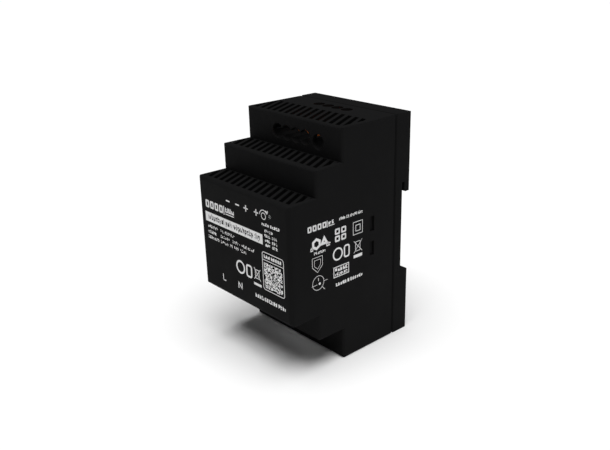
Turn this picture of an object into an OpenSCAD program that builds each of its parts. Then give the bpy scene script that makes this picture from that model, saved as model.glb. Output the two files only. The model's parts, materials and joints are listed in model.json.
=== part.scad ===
// DIN rail power supply: three modules wide, stepped front, screw terminals at top and bottom.
// Millimetres. Origin: centre of the rail seat. +X right, +Y towards the rail, +Z up.

/* [Case] */
// Width across the sides, three modules
body_w = 52.5; // [52.5:0.5:70]
// Height from bottom face to top face
body_h = 90; // [90:1:120]
// Depth from the nose face to the rear faces
body_d = 61; // [56:0.5:80]
// Height of the nose, middled on the case
nose_h = 45; // [44:0.5:48]
// Height of the middle step, middled on the case
mid_h = 65; // [62:0.5:70]
// Depth from the nose face back to the middle step's face
nose_step = 12.4; // [8:0.1:14]
// Depth from the middle step's face back to the outer step's face
mid_step = 12.5; // [8:0.1:14]
// Wall thickness
wall = 1.8; // [1.4:0.1:2.4]
// Edge radius of the nose
nose_r = 1.6; // [0.8:0.1:2.5]
// Edge radius of the two steps behind it
step_r = 1; // [0.5:0.1:2]
// Radius along the lengthwise edges
side_r = 0.6; // [0.3:0.1:1]
// Depth of the rear base, from the seam to the rear faces
base_depth = 9.2; // [9:0.1:12]
// Width of the groove at the seam
seam_gap = 0.4; // [0.2:0.1:0.8]
// Bevel on the rear base beside the seam
seam_bevel = 0.8; // [0.4:0.1:1]
// Clearance between the base's inner lip and the front housing
lip_gap = 0.15; // [0.1:0.05:0.3]
// Thickness of the base's inner lip and snap fingers
lip_t = 1.2; // [1:0.1:1.6]

/* [Vents] */
// Pitch of the slots, measured across the case
vent_pitch = 3.45; // [3:0.05:5]
// Width of a slot, square to its length
vent_w = 1.7; // [1:0.1:2]
// Slant of the slots from straight ahead
vent_angle = 27; // [0:1:40]
// Solid margin at each side of a row
vent_side = 1.5; // [1:0.1:4]
// Solid margin between a step's front edge and its slots
vent_front = 2.2; // [2:0.1:4]
// The same margin on the outer step
vent_front_outer = 1.3; // [1:0.1:4]
// Length of the outer step's row, front to back
vent_outer_len = 13.2; // [8:0.1:14]

/* [Rail] */
// Height of the rail's flanges, edge to edge
rail_h = 35; // [35]
// Height of the rail's hat section
rail_hat_h = 27; // [27]
// Depth of the rail recess
seat_depth = 4.5; // [4.5:0.1:6]
// How far the rail's middle lies above the case's middle
rail_offset = 0.6; // [0:0.1:3]
// Clearance at each edge of the rail
rail_gap = 0.1; // [0.05:0.05:0.3]
// Groove behind the upper hook that takes the rail's 1 mm flange
groove_w = 1.4; // [1.2:0.1:1.8]
// Gap between the upper hook's tip and the rail's hat
hook_gap = 0.2; // [0.1:0.1:1]

/* [Latch] */
// Width of the latch slider
latch_w = 10; // [8:0.5:14]
// How far each side flange stands out
latch_flange = 2; // [1.5:0.1:3]
// Thickness of the side flanges
latch_flange_t = 1; // [0.8:0.1:1.4]
// How far the latch's tip reaches behind the rail's flange
latch_grip = 2; // [1.5:0.1:3]
// Travel that frees the rail
latch_travel = 3; // [2:0.1:4]
// Clearance round the slider
latch_gap = 0.2; // [0.1:0.05:0.3]
// Outer diameter of the return spring
spring_d = 2.9; // [2:0.1:3]
// Wire diameter of the return spring
spring_wire = 0.4; // [0.3:0.05:0.5]
// Length of the return spring at rest
spring_len = 9.5; // [8:0.5:12]

/* [Terminals] */
// Pitch of the four output poles
out_pitch = 5.08; // [5:0.01:6.4]
// Pitch of the two input poles
in_pitch = 10.16; // [7.5:0.01:12]
// Middle of the input poles, from the case's middle
in_x = -8.1; // [-9:0.1:-7]
// Screw height below the top face, and above the bottom face
screw_inset = 6.9; // [6.9:0.1:8]
// Depth of the terminal blocks, from the board forwards
term_d = 12.3; // [12.3:0.1:14]
// Radius of a screw head
head_r = 2; // [1.8:0.1:2.1]
// Radius of a screw's shank
shank_r = 1.2; // [1:0.05:1.4]
// Radial running clearance between a screw and its clamp cage
thread_gap = 0.05; // [0.02:0.01:0.1]
// Outer width of a clamp cage
cage_w = 4.1; // [3.8:0.1:4.2]
// Length of a clamp cage along the screw
cage_len = 6.2; // [6:0.1:7]
// Height of a clamp cage along the wire
cage_h = 6; // [5:0.1:6.2]
// Travel of a clamp cage
cage_travel = 2.5; // [1:0.1:2.5]
// Radius of the wire entries in the case
wire_r = 2.3; // [1.8:0.05:2.4]
// Radius of the screwdriver holes in the case
driver_r = 2.9; // [2.6:0.05:2.95]

/* [Board] */
// Thickness of the circuit boards
board_t = 1.6; // [1:0.1:1.8]
// Gap between the board's edge and the base's lip
board_gap = 0.6; // [0.4:0.1:1.5]
// Gap between the seam and the board's rear face
board_set = 0.9; // [0.8:0.1:2]
// Radius of a component lead
lead_r = 0.4; // [0.3:0.05:0.5]
// Radial clearance of a lead in its board hole
lead_gap = 0.1; // [0.05:0.05:0.2]
// Radius of a board screw's head
board_screw_head_r = 2.25; // [2:0.05:2.5]
// Radius of a board screw's shank
board_screw_r = 1.2; // [1:0.05:1.3]

/* [Adjuster and lamp] */
// Width of the trimmer's square body
trimmer_w = 6.6; // [6:0.1:7]
// Depth of the trimmer's body
trimmer_d = 9.5; // [8:0.1:11]
// Radius of the trimmer's rotor
rotor_r = 2.3; // [2:0.1:2.6]
// Gap between the trimmer and the output block
trimmer_gap = 1.1; // [0.6:0.1:2]
// Lamp's place from the case's middle and above the nose's middle
lamp_at = [16.2, 16.6];
// Radius of the light pipe's rod
pipe_r = 1.5; // [1:0.1:1.5]
// Radius of the light pipe's tip
pipe_tip_r = 0.7; // [0.5:0.1:1]

/* [Hidden] */
$fn = 48;
eps = 0.01;

// Planes of the case
front_y = seat_depth - body_d;
mid_y = front_y + nose_step;
outer_y = mid_y + mid_step;
seam_y = seat_depth - base_depth;
case_z = -rail_offset;
bottom_z = case_z - body_h / 2;
top_z = case_z + body_h / 2;
inner_x = body_w / 2 - wall;
lip_x = inner_x - lip_gap;
cavity_x = lip_x - lip_t;
cavity_top = top_z - wall - lip_gap - lip_t;
cavity_bottom = bottom_z + wall + lip_gap + lip_t;

// Rail recess
seat_top = rail_h / 2 + rail_gap;
hook_z = rail_hat_h / 2 + hook_gap;
ledge_drop = 1.9;
ledge_flat = 1.2;
seat_wall_y = -wall;

// Main board
board_rear = seam_y - board_set;
board_y = board_rear - board_t;
board_x = cavity_x - board_gap;
board_top = cavity_top - board_gap;
board_bottom = cavity_bottom + board_gap;
tail_y = board_rear + 1.1;
part_gap = 0.5;
core_gap = 0.05;

// Board screws stand in the four corners
board_screw_x = board_x - board_screw_head_r - 0.25;
board_screw_top = board_top - board_screw_head_r - 0.3;
board_screw_bottom = board_bottom + board_screw_head_r + 0.3;
board_screw_places = [for (x = [-1, 1]) for (z = [board_screw_bottom, board_screw_top])
    [x * board_screw_x, z]];
post_r = 2.4;

// Terminals
out_poles = 4;
in_poles = 2;
plate_side = wire_r + 1.3;
out_z = top_z - screw_inset;
in_z = bottom_z + screw_inset;
trimmer_x = board_screw_x - board_screw_head_r - 0.4 - trimmer_w / 2;
trimmer_z = out_z - 0.5;
out_x = trimmer_x - trimmer_w / 2 - trimmer_gap - out_poles * out_pitch / 2;
function pole_x(i, count, pitch, middle) = middle + (i - (count - 1) / 2) * pitch;
out_places = [for (i = [0 : out_poles - 1]) pole_x(i, out_poles, out_pitch, out_x)];
in_places = [for (i = [0 : in_poles - 1]) pole_x(i, in_poles, in_pitch, in_x)];
term_y = board_y - term_d;
term_top = screw_inset - wall - 0.3;
term_low = 4.8;
cage_back = board_y - 0.7;
cage_front = cage_back - cage_len;
cage_plate = 1;
bar_front = cage_front + cage_plate + 0.2;
bar_t = 0.9;
wire_y = (bar_front + bar_t + cage_back - cage_plate) / 2;
web_back = cage_front - cage_travel - 0.1;
web_t = 0.6;
head_back = web_back - web_t - 0.1;
head_front = head_back - 1.6;
pole_half = 3.2;

// Snap windows and fingers
window_y = [front_y + 39, front_y + 41.3];
window_z = [[case_z - 6.7, case_z - 1], [case_z + 3, case_z + 9]];

// Latch and its spring
latch_front = groove_w - 0.3;
latch_back = seat_depth - 0.3;
latch_tip = -rail_h / 2 + latch_grip;
latch_end = bottom_z + latch_travel + 0.5;
ledge_z = -seat_top;
spring_y = (latch_front + latch_back) / 2;
lug_h = 2;
lug_z = ledge_z - 18;
spring_z = lug_z + lug_h;
window_half = spring_d / 2 + 0.4;

// Parts on the board, each placed by its edge neighbours
bulk_r = 8;
bulk_len = 32;
bulk_at = [-board_x + part_gap + bulk_r, case_z - 1.4];
sink_t = 1.4;
sink_x = board_x - part_gap - sink_t;
to_t = 4.5;
trafo_w = 20;
trafo_at = [bulk_at[0] + bulk_r + 0.4 + trafo_w / 2, case_z + 6.1];
fuse_r = 2.5;
fuse_z = in_z + 5.2;
fuse_x = [4.5, 21];
line_choke_r = 7.6;
line_choke_at = [-board_x + part_gap + line_choke_r + 1, bulk_at[1] - bulk_r - 1 - line_choke_r - 0.6];
cap_r = 5;
cap_z = out_z - term_low - 2 - cap_r;
cap_x = [-board_x + 3 + cap_r, -board_x + 3 + 3 * cap_r + 1];
out_choke_r = 6.2;
out_choke_at = [cap_x[1] + cap_r + 0.4 + out_choke_r, cap_z - 0.6];
xcap = [17, 7, 13];
xcap_at = [5.5, case_z - 22];
ycap_at = [1.5, case_z - 8.3];
bridge_at = [5.5, case_z - 13.6];
varistor_at = [sink_x - 2.6, case_z - 24.5];
ntc_at = [-board_x + 5.6, in_z + 8.3];
opto_at = [trafo_at[0] - trafo_w / 2 - 3.4, trafo_at[1] + 10.6];
ctrl_x = -board_x + 3.2;
ctrl_z = [bulk_at[1] + bulk_r + 1.5, cap_z - cap_r - 1];
mosfet_z = [case_z - 12, case_z - 2];
diode_z = [case_z + lamp_at[1] + 2.6, case_z + lamp_at[1] + 12.6];
lamp_x = lamp_at[0];
lamp_z = case_z + lamp_at[1];

// Lead places on the board
function across(at, dx, dz = 0) = [[at[0] - dx, at[1] - dz], [at[0] + dx, at[1] + dz]];
trimmer_leads = [[trimmer_x - 2.5, trimmer_z - 2.4], [trimmer_x, trimmer_z + 2.4], [trimmer_x + 2.5, trimmer_z - 2.4]];
out_leads = [for (x = out_places) [x, out_z - 3.8]];
in_leads = [for (x = in_places) [x, in_z + 3.8]];
led_leads = across([lamp_x, lamp_z], 0.9);
bulk_leads = across(bulk_at, 3.75);
cap_leads_1 = across([cap_x[0], cap_z], 2.5);
cap_leads_2 = across([cap_x[1], cap_z], 2.5);
xcap_leads = across(xcap_at, 7);
ycap_leads = across(ycap_at, 2.5);
bridge_leads = [for (i = [-1.5 : 1 : 1.5]) [bridge_at[0] + i * 3.8, bridge_at[1]]];
varistor_leads = across(varistor_at, 0, 3.6);
ntc_leads = across(ntc_at, 3);
fuse_leads = [[fuse_x[0] + 2, fuse_z], [fuse_x[1] - 2, fuse_z]];
trafo_leads = [for (i = [-2 : 1 : 2]) for (s = [-1, 1]) [trafo_at[0] + i * 3.6, trafo_at[1] + s * 9]];
line_choke_leads = concat(across([line_choke_at[0], line_choke_at[1] - 4.4], 5),
    across([line_choke_at[0], line_choke_at[1] + 4.4], 5));
out_choke_leads = across(out_choke_at, 0, 4.6);
mosfet_leads = [for (i = [-1 : 1]) [sink_x - to_t / 2, (mosfet_z[0] + mosfet_z[1]) / 2 + i * 2.54]];
diode_leads = [for (i = [-1 : 1]) [sink_x - to_t / 2, (diode_z[0] + diode_z[1]) / 2 + i * 2.54]];
ctrl_leads = [for (i = [-2 : 1 : 2]) [ctrl_x + 0.6, (ctrl_z[0] + ctrl_z[1]) / 2 + i * 2]];
opto_leads = [for (a = [-1, 1]) for (b = [-1, 1]) [opto_at[0] + a * 1.3, opto_at[1] + b * 2.6]];
all_leads = concat(trimmer_leads, out_leads, in_leads, led_leads, bulk_leads, cap_leads_1, cap_leads_2,
    xcap_leads, ycap_leads, bridge_leads, varistor_leads, ntc_leads, fuse_leads, trafo_leads,
    line_choke_leads, out_choke_leads, mosfet_leads, diode_leads, ctrl_leads, opto_leads);

// ---------- shared shapes ----------

// Box from two corners
module block(x, y, z) {
    translate([x[0], y[0], z[0]]) cube([x[1] - x[0], y[1] - y[0], z[1] - z[0]]);
}

// Cylinder along Y between two depths
module rod_y(r, y, x, z) {
    translate([x, y[0], z]) rotate([-90, 0, 0]) cylinder(r = r, h = y[1] - y[0]);
}

// Cylinder along Z between two heights
module rod_z(r, z, x, y) {
    translate([x, y, z[0]]) cylinder(r = r, h = z[1] - z[0]);
}

// Cylinder along X between two places
module rod_x(r, x, y, z) {
    translate([x[0], y, z]) rotate([0, 90, 0]) cylinder(r = r, h = x[1] - x[0]);
}

// Component leads, from a depth back through the board
module leads(places, y) {
    for (p = places) rod_y(lead_r, [y, tail_y], p[0], p[1]);
}

// Rectangle whose two corners at the front, u0, are round
module front_rounded(u0, u1, v0, v1, r) {
    translate([u0 + r, v0]) square([u1 - u0 - r, v1 - v0]);
    translate([u0, v0 + r]) square([r, v1 - v0 - 2 * r]);
    translate([u0 + r, v0 + r]) circle(r);
    translate([u0 + r, v1 - r]) circle(r);
}

// Rectangle with four round corners
module round_rect(u0, u1, v0, v1, r) {
    translate([u0 + r, v0]) square([u1 - u0 - 2 * r, v1 - v0]);
    translate([u0, v0 + r]) square([u1 - u0, v1 - v0 - 2 * r]);
    for (u = [u0 + r, u1 - r]) for (v = [v0 + r, v1 - r]) translate([u, v]) circle(r);
}

// One step of the case, rounded along its edges
module case_block(y0, y1, height, r) {
    z0 = case_z - height / 2;
    z1 = case_z + height / 2;
    intersection() {
        rotate([90, 0, 90]) linear_extrude(height = body_w, center = true)
            front_rounded(y0, y1, z0, z1, r);
        translate([0, 0, z0]) linear_extrude(height = height) mirror([1, -1, 0])
            front_rounded(y0, y1, -body_w / 2, body_w / 2, r);
        translate([0, y1, 0]) rotate([90, 0, 0]) linear_extrude(height = y1 - y0)
            round_rect(-body_w / 2, body_w / 2, z0, z1, side_r);
    }
}

// ---------- case ----------

// One row of slanted slots in plan, clipped to its rectangle
module vent_row(y0, y1, first_x) {
    middle = (y0 + y1) / 2;
    shift = tan(vent_angle) * (y1 - y0) / 2;
    intersection() {
        translate([-body_w / 2 + vent_side, y0]) square([body_w - 2 * vent_side, y1 - y0]);
        for (x = [first_x - shift - vent_pitch : vent_pitch : body_w + shift])
            translate([x - body_w / 2, middle]) rotate(vent_angle)
                square([vent_w, 2 * (y1 - y0)], center = true);
    }
}

// Slots through the top and bottom walls of one step
module vents(y0, y1, height, first_x) {
    for (z = [case_z + height / 2 - wall - 1, case_z - height / 2 - 1])
        translate([0, 0, z]) linear_extrude(height = wall + 2) vent_row(y0, y1, first_x);
}

// Half-round troughs that guide a screwdriver to a row of screws
module driver_guide(places, z) {
    first = places[0] - driver_r - 0.9;
    last = places[len(places) - 1] + driver_r + 0.9;
    difference() {
        block([first, last], [outer_y + wall - eps, term_y - 0.3], [z - driver_r - 0.9, z]);
        for (x = places) rod_y(driver_r, [outer_y, term_y], x, z);
    }
}

// Strip of an end wall round a row of wire entries
module wire_strip(places, z) {
    block([places[0] - plate_side, places[len(places) - 1] + plate_side],
        [wire_y - plate_side, seam_y], z);
}

// The strip with its wire entries, flush in the housing's end wall
module wire_plate(places, z) difference() {
    wire_strip(places, z);
    for (x = places) rod_z(wire_r, [z[0] - 1, z[1] + 1], x, wire_y);
}

module output_wire_plate() color("#1b1b1c") wire_plate(out_places, [top_z - wall, top_z]);
module input_wire_plate() color("#1b1b1c") wire_plate(in_places, [bottom_z, bottom_z + wall]);

module front_housing() color("#1b1b1c") difference() {
    union() {
        difference() {
            union() {
                case_block(front_y, seam_y, nose_h, nose_r);
                case_block(mid_y, seam_y, mid_h, step_r);
                case_block(outer_y, seam_y, body_h, step_r);
            }
            for (s = [[front_y, nose_h], [mid_y, mid_h], [outer_y, body_h]])
                block([-inner_x, inner_x], [s[0] + wall, seam_y + eps],
                    [case_z - s[1] / 2 + wall, case_z + s[1] / 2 - wall]);
        }
        driver_guide(out_places, out_z);
        driver_guide([trimmer_x], trimmer_z);
        driver_guide(in_places, in_z);
        board_stops();
    }
    vents(front_y + vent_front, mid_y - 0.3, nose_h, 1.2);
    vents(mid_y + vent_front, outer_y - 0.3, mid_h, 1.3);
    vents(outer_y + vent_front_outer, outer_y + vent_front_outer + vent_outer_len, body_h, 0.4);
    for (x = out_places) rod_y(driver_r, [outer_y - 1, outer_y + wall + eps], x, out_z);
    for (x = in_places) rod_y(driver_r, [outer_y - 1, outer_y + wall + eps], x, in_z);
    wire_strip(out_places, [top_z - wall, top_z + 1]);
    wire_strip(in_places, [bottom_z - 1, bottom_z + wall]);
    rod_y(driver_r, [outer_y - 1, outer_y + wall + eps], trimmer_x, trimmer_z);
    rod_y(pipe_tip_r + 0.05, [front_y - 1, front_y + wall + 1], lamp_x, lamp_z);
    for (w = window_z) for (s = [-1, 1])
        block([s * body_w / 2 - wall - 0.5, s * body_w / 2 + wall + 0.5], window_y, w);
}

// Ribs on the side walls that the board's front face rests against
module board_stops() {
    for (z = [case_z + 16, case_z - 26]) {
        block([board_x - 0.35, inner_x + eps], [board_y - 2.4, board_y], [z, z + 10]);
        block([-inner_x - eps, -board_x + 0.35], [board_y - 2.4, board_y], [z, z + 10]);
    }
}

// Side outline of the rear base, as depth and height
module base_outline() {
    front = seam_y + seam_gap;
    polygon([
        [front, bottom_z + seam_bevel], [front + seam_bevel, bottom_z],
        [seat_depth - side_r, bottom_z], [seat_depth, bottom_z + side_r],
        [seat_depth, ledge_z - ledge_drop], [ledge_flat, ledge_z], [0, ledge_z],
        [0, seat_top], [groove_w, seat_top], [groove_w, hook_z + 0.5], [groove_w + 0.5, hook_z],
        [seat_depth, hook_z], [seat_depth, top_z - side_r], [seat_depth - side_r, top_z],
        [front + seam_bevel, top_z], [front, top_z - seam_bevel]
    ]);
}

// Plan outline of the rear base
module base_plan() {
    front = seam_y + seam_gap;
    half = body_w / 2;
    polygon([
        [-half + seam_bevel, front], [half - seam_bevel, front], [half, front + seam_bevel],
        [half, seat_depth - side_r], [half - side_r, seat_depth],
        [-half + side_r, seat_depth], [-half, seat_depth - side_r], [-half, front + seam_bevel]
    ]);
}

module rear_base() color("#1f1f20") difference() {
    union() {
        difference() {
            union() {
                intersection() {
                    rotate([90, 0, 90]) linear_extrude(height = body_w, center = true) base_outline();
                    translate([0, 0, bottom_z]) linear_extrude(height = body_h) base_plan();
                }
                block([-lip_x, lip_x], [seam_y - 1.6, seam_y + seam_gap + seam_bevel + eps],
                    [bottom_z + wall + lip_gap, top_z - wall - lip_gap]);
            }
            block([-cavity_x, cavity_x], [seam_y - 2, seat_wall_y], [cavity_bottom, cavity_top]);
            block([-cavity_x, cavity_x], [seam_y - 2, seat_depth - wall], [seat_top + wall, cavity_top]);
            for (s = [-1, 1])
                block([s * (latch_w / 2 + latch_flange + 6.5 + cavity_x) / 2 - 6.2,
                       s * (latch_w / 2 + latch_flange + 6.5 + cavity_x) / 2 + 6.2],
                    [seam_y - 2, seat_depth - wall], [cavity_bottom, ledge_z - ledge_drop - wall]);
        }
        snap_fingers();
        for (p = board_screw_places) rod_y(post_r, [board_rear, seat_depth - wall + eps], p[0], p[1]);
    }
    latch_channel();
    for (p = board_screw_places) rod_y(board_screw_r, [board_rear - 1, board_rear + 5], p[0], p[1]);
}

// Fingers on both sides whose catches sit in the front housing's windows
module snap_fingers() {
    y0 = window_y[0] - 0.8;
    for (s = [-1, 1]) {
        block([s * (lip_x + cavity_x) / 2 - lip_t / 2, s * (lip_x + cavity_x) / 2 + lip_t / 2],
            [y0, seam_y + seam_gap + eps], [window_z[0][0] - 1, window_z[1][1] + 1]);
        for (w = window_z)
            block([s * (lip_x + 0.5) - 0.6, s * (lip_x + 0.5) + 0.6],
                [window_y[0] + 0.2, window_y[1] - 0.2], [w[0] + 0.2, w[1] - 0.2]);
    }
}

// Space in which the latch slides, with a lug left standing for its spring
module latch_channel() {
    half = latch_w / 2 + latch_gap;
    front = latch_front - latch_gap;
    difference() {
        union() {
            block([-half, half], [front, seat_depth + 1], [bottom_z - 1, ledge_z + 1]);
            block([-half - latch_flange, half + latch_flange],
                [front, latch_front + latch_flange_t + latch_gap],
                [bottom_z - 1, ledge_z - ledge_drop - 2.5 + latch_gap]);
        }
        block([-window_half + 0.3, window_half - 0.3], [front - 1, latch_back - 0.2], [lug_z, lug_z + lug_h]);
    }
}

// Profile of the latch: a flat slider with a bevelled tip
module latch_outline() {
    polygon([
        [latch_front, latch_end], [latch_back, latch_end], [latch_back, latch_tip - 3],
        [latch_front + 0.9, latch_tip], [latch_front, latch_tip]
    ]);
}

module rail_latch() color("#2a2a2c") difference() {
    union() {
        rotate([90, 0, 90]) linear_extrude(height = latch_w, center = true) latch_outline();
        block([-latch_w / 2 - latch_flange, latch_w / 2 + latch_flange],
            [latch_front, latch_front + latch_flange_t],
            [latch_end, ledge_z - ledge_drop - 2.5]);
    }
    block([-window_half, window_half], [latch_front - 1, latch_back + 1],
        [lug_z - 0.1, spring_z + spring_len]);
    block([-3, 3], [latch_front - 1, latch_back + 1], [latch_end + 1.4, latch_end + 2.8]);
}

// Coil of round wire along Z, as rings of points joined into a tube
module coil(d, wire, length, turns) {
    per_turn = 16;
    sides = 6;
    steps = turns * per_turn;
    radius = (d - wire) / 2;
    function ring(i) = let (a = 360 * i / per_turn, z = wire / 2 + (length - wire) * i / steps)
        [for (k = [0 : sides - 1]) let (b = 360 * k / sides)
            [(radius + wire / 2 * cos(b)) * cos(a), (radius + wire / 2 * cos(b)) * sin(a),
             z + wire / 2 * sin(b)]];
    points = [for (i = [0 : steps]) for (p = ring(i)) p];
    faces = concat(
        [[for (k = [0 : sides - 1]) k]],
        [for (i = [0 : steps - 1]) for (k = [0 : sides - 1]) let (n = (k + 1) % sides)
            [i * sides + k, (i + 1) * sides + k, (i + 1) * sides + n, i * sides + n]],
        [[for (k = [sides - 1 : -1 : 0]) steps * sides + k]]);
    polyhedron(points = points, faces = faces, convexity = 10);
}

module latch_spring() color("silver")
    translate([0, spring_y, spring_z]) coil(spring_d, spring_wire, spring_len, 8);

// ---------- boards ----------

module main_board() color("#2f5d34") difference() {
    block([-board_x, board_x], [board_y, board_rear], [board_bottom, board_top]);
    for (p = board_screw_places) rod_y(board_screw_r + 0.3, [board_y - 1, board_rear + 1], p[0], p[1]);
    for (p = all_leads) rod_y(lead_r + lead_gap, [board_y - 1, board_rear + 1], p[0], p[1]);
}

module board_screws() color("silver") for (p = board_screw_places) difference() {
    union() {
        rod_y(board_screw_head_r, [board_y - 1.5, board_y], p[0], p[1]);
        rod_y(board_screw_r, [board_y - eps, board_rear + 4.5], p[0], p[1]);
    }
    for (a = [0, 90]) translate([p[0], board_y - 1.5, p[1]]) rotate([0, a, 0])
        cube([2.6, 1.4, 0.6], center = true);
}

// ---------- terminals ----------

// Puts its children at a pole, the wire side up for the output and down for the input
module at_pole(x, z, up) {
    if (up) translate([x, 0, z]) children();
    else translate([x, 0, z]) mirror([0, 0, 1]) children();
}

module terminal_pole_cut() {
    rod_y(head_r + 0.25, [term_y - 1, head_back + 0.1], 0, 0);
    rod_y(shank_r + 0.3, [term_y, web_back + eps], 0, 0);
    block([-cage_w / 2 - 0.15, cage_w / 2 + 0.15], [web_back, cage_back + 0.2],
        [-cage_h / 2 - 0.2, cage_h / 2 + 0.2]);
    rod_z(1.5, [cage_h / 2, term_top + 1], 0, wire_y);
    translate([0, wire_y, term_top - 1]) cylinder(r1 = 1.5, r2 = 1.9, h = 1 + eps);
    block([-1.35, 1.35], [bar_front, board_y + 1], [-4.2, -cage_h / 2]);
}

// Terminal block in its own frame: screw axis at height 0, wires from above
module terminal_body(places, z, up) {
    first = places[0] - (up ? out_pitch / 2 : pole_half);
    last = places[len(places) - 1] + (up ? out_pitch / 2 : pole_half);
    difference() {
        at_pole(0, z, up) difference() {
            block([first, last], [term_y, board_y], [-term_low, term_top]);
            block([first - 1, last + 1], [term_y - 1, term_y + 2.2], [term_top - 1.4, term_top + 1]);
        }
        for (x = places) at_pole(x, z, up) terminal_pole_cut();
        for (i = [0 : len(places) - 2]) at_pole((places[i] + places[i + 1]) / 2, z, up)
            block([-0.2, 0.2], [term_y - 1, term_y + 3], [term_top - 3.4, term_top + 1]);
    }
}

module contact_bars(places, z, up) {
    for (x = places) at_pole(x, z, up) {
        block([-1.3, 1.3], [bar_front, bar_front + bar_t], [-4.2, cage_h / 2 - 0.2]);
        block([-1.3, 1.3], [bar_front, board_y - 0.1], [-4.2, -3.4]);
        rod_y(lead_r, [board_y - 0.2, tail_y], 0, -3.8);
    }
}

// Clamp cage: a rectangular ring round the bar and the wire, threaded on the screw
module cage(x, z, up) at_pole(x, z, up) difference() {
    block([-cage_w / 2, cage_w / 2], [cage_front, cage_back], [-cage_h / 2, cage_h / 2]);
    block([-cage_w / 2 + 0.6, cage_w / 2 - 0.6], [cage_front + cage_plate, cage_back - cage_plate],
        [-cage_h / 2 - 1, cage_h / 2 + 1]);
    rod_y(shank_r + thread_gap, [cage_front - 1, cage_front + cage_plate + 0.1], 0, 0);
}

// Slotted clamp screw
module clamp_screw(x, z) difference() {
    union() {
        rod_y(head_r, [head_front, head_back], x, z);
        rod_y(shank_r, [head_back - eps, bar_front - 0.1], x, z);
    }
    translate([x, head_front, z]) cube([2 * head_r + 1, 1.6, 0.7], center = true);
}

module output_terminal_body() color("#c4641c") terminal_body(out_places, out_z, true);
module output_contacts() color("#c9b27a") contact_bars(out_places, out_z, true);
module output_cage(i) color("#b9bcc0") cage(out_places[i - 1], out_z, true);
module output_screw(i) color("#cfd2d6") clamp_screw(out_places[i - 1], out_z);
module input_terminal_body() color("#c4641c") terminal_body(in_places, in_z, false);
module input_contacts() color("#c9b27a") contact_bars(in_places, in_z, false);
module input_cage(i) color("#b9bcc0") cage(in_places[i - 1], in_z, false);
module input_screw(i) color("#cfd2d6") clamp_screw(in_places[i - 1], in_z);

// ---------- adjuster and lamp ----------

trimmer_y = board_y - trimmer_d;

module trimmer_body() color("#3d6fb5") {
    difference() {
        block([trimmer_x - trimmer_w / 2, trimmer_x + trimmer_w / 2], [trimmer_y, board_y],
            [trimmer_z - trimmer_w / 2, trimmer_z + trimmer_w / 2]);
        rod_y(rotor_r + 0.08, [trimmer_y - 1, trimmer_y + 1.6], trimmer_x, trimmer_z);
    }
    leads(trimmer_leads, board_y - 0.2);
}

module trimmer_rotor() color("#e8e8e4") difference() {
    rod_y(rotor_r, [trimmer_y - 0.4, trimmer_y + 1.5], trimmer_x, trimmer_z);
    for (a = [0, 90]) translate([trimmer_x, trimmer_y - 0.4, trimmer_z]) rotate([0, a, 0])
        cube([3, 1.6, 0.7], center = true);
}

led_len = 4.6;

module status_led() color("#d8f0d8") {
    rod_y(1.5, [board_y - led_len + 1.5, board_y - 0.8], lamp_x, lamp_z);
    translate([lamp_x, board_y - led_len + 1.5, lamp_z]) sphere(r = 1.5);
    rod_y(1.9, [board_y - 0.9, board_y], lamp_x, lamp_z);
    leads(led_leads, board_y - 0.2);
}

module light_pipe() color("#e6eef0") {
    rod_y(pipe_r, [front_y + wall + 0.1, board_y - led_len - 0.3], lamp_x, lamp_z);
    rod_y(pipe_tip_r, [front_y + 0.1, front_y + wall + 0.2], lamp_x, lamp_z);
}

// ---------- power parts ----------

module trafo_place() { translate([trafo_at[0], board_y, trafo_at[1]]) children(); }

module transformer_core() color("#3a3a3d") trafo_place() difference() {
    block([-trafo_w / 2, trafo_w / 2], [-20, -3], [-6.5, 6.5]);
    for (s = [-1, 1]) block([s * 5.5 - 2, s * 5.5 + 2], [-17.5, -5.5], [-8, 8]);
}

module transformer_bobbin() color("#202022") trafo_place() {
    difference() {
        union() {
            block([-4.4, 4.4], [-17.3, -5.7], [-8.4, 8.4]);
            for (y = [-17.3, -6.7]) block([-7.3, 7.3], [y, y + 1], [-9.6, 9.6]);
        }
        block([-3.6, 3.6], [-18, -5], [-6.6, 6.6]);
    }
    for (s = [-1, 1]) block([-9, 9], [-5.7 - eps, 0], [s * 9 - 1.4, s * 9 + 1.4]);
    for (p = trafo_leads) rod_y(lead_r, [-0.2, tail_y - board_y], p[0] - trafo_at[0], p[1] - trafo_at[1]);
}

module transformer_winding() color("#d9a520") trafo_place() difference() {
    block([-7.2, 7.2], [-16.2, -6.8], [-10.4, 10.4]);
    block([-4.5, 4.5], [-17, -5], [-8.5, 8.5]);
}

// Electrolytic can: round shoulder at the front, crimp groove near the board
module can(at, r, length) {
    translate([at[0], board_y, at[1]]) rotate([90, 0, 0]) rotate_extrude() difference() {
        union() {
            square([r - 0.8, length]);
            square([r, length - 0.8]);
            translate([r - 0.8, length - 0.8]) circle(0.8);
        }
        translate([r + 0.25, 3]) circle(0.7);
        translate([-5, -1]) square([5, length + 2]);
    }
}

module bulk_capacitor() color("#23324f") {
    can(bulk_at, bulk_r, bulk_len);
    leads(bulk_leads, board_y - 0.2);
}

module output_capacitor(i) color("#23324f") {
    can([cap_x[i - 1], cap_z], cap_r, 20);
    leads(i == 1 ? cap_leads_1 : cap_leads_2, board_y - 0.2);
}

// Toroid with its axis along Y, r0 to r1, from depth y0 to y1
module ring_core(at, r0, r1, y) {
    translate([at[0], y[1], at[1]]) rotate([90, 0, 0]) rotate_extrude()
        translate([r0, 0]) square([r1 - r0, y[1] - y[0]]);
}

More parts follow.
